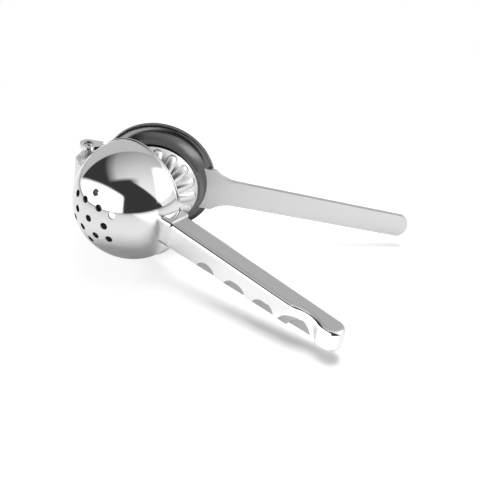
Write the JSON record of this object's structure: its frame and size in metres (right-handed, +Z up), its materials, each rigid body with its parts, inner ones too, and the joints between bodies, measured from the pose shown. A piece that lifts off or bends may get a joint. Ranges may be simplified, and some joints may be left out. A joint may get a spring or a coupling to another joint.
{
  "type": "hinged lemon squeezer",
  "caption": "Hinged stainless steel lemon squeezer, half open: perforated bowl with scalloped grip, and ribbed press dome on a flat satin handle",
  "frame": {"origin": "centre of the bounding box on the floor plane, the tool lying on its side as in use at rest", "axes": "+X from the hinge towards the handle tips, midway between the halves; +Y from the cup half towards the press half; +Z up"},
  "size_m": [0.1932, 0.1324, 0.0713],
  "materials": {
    "polished": "mirror polished",
    "satin": "satin",
    "pin": "satin"
  },
  "bodies": {
    "cup_half": {"perforated_cup": "polished", "cup_hinge_lug": "satin", "handle_collar": "polished", "cup_handle": "satin"},
    "press_half": {"press_dish": "polished", "press_dome": "polished", "press_handle": "satin", "upper_ear": "polished", "lower_ear": "polished", "hinge_pin": "pin"}
  },
  "joints": [
    {"name": "hinge_turn", "type": "hinge", "parent": "cup_half", "child": "press_half", "pos_m": [-0.08863, 0.00798, 0.04234], "axis": [0.165, 0, 0.9863], "range_deg": [-32, 75]}
  ]
}
